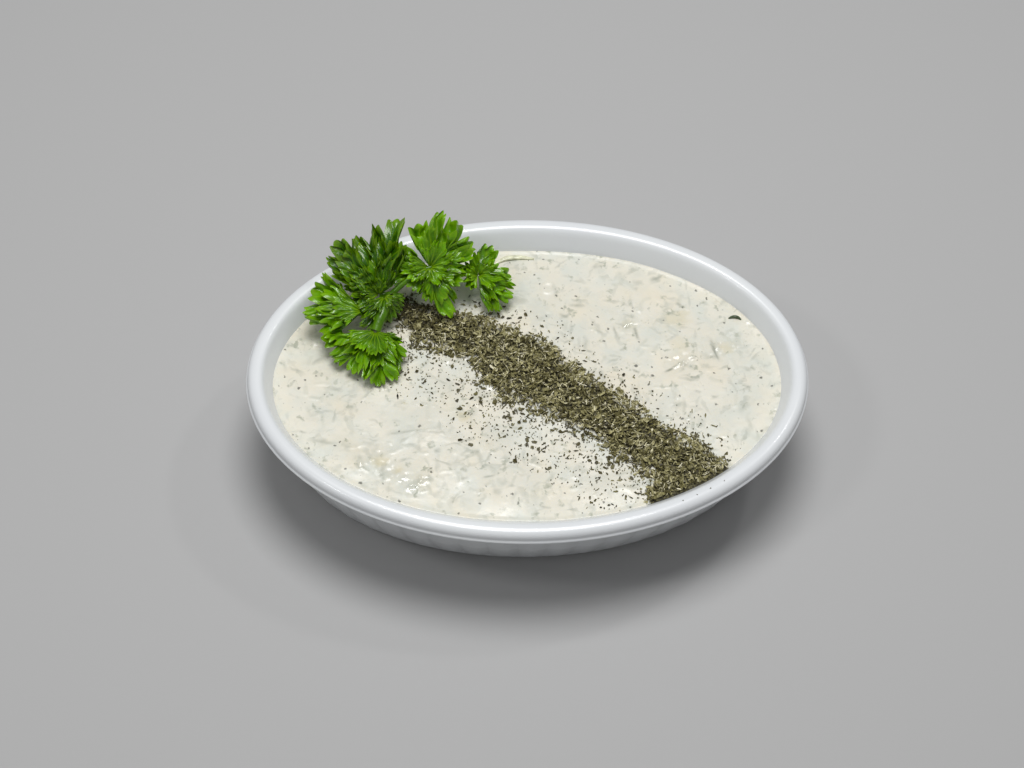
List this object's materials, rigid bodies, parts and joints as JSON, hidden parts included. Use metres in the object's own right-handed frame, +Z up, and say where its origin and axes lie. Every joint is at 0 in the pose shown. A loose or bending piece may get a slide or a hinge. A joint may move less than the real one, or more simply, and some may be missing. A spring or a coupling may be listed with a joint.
{
  "type": "tzatziki dip in an oval dish",
  "caption": "Tzatziki in a white oval fluted porcelain dish, with a stripe of dried herb flakes, a sprig of curly parsley and strips of grated cucumber.",
  "frame": {"origin": "middle of the dish's foot, on the surface it stands on", "axes": "+Z up, +X along the dish, -Y towards the near side; the parsley stands at the far left and the herb stripe runs from it to the near right"},
  "size_m": [0.15, 0.102, 0.0509],
  "materials": {
    "porcelain": "gloss",
    "tzatziki": "satin",
    "parsley": "satin",
    "cucumber": "satin",
    "cucumber_skin": "satin"
  },
  "bodies": {
    "root": {"dish": "porcelain", "dip": "tzatziki", "parsley": "parsley", "cucumber_shred": "cucumber", "cucumber_skin": "cucumber_skin"}
  },
  "joints": []
}
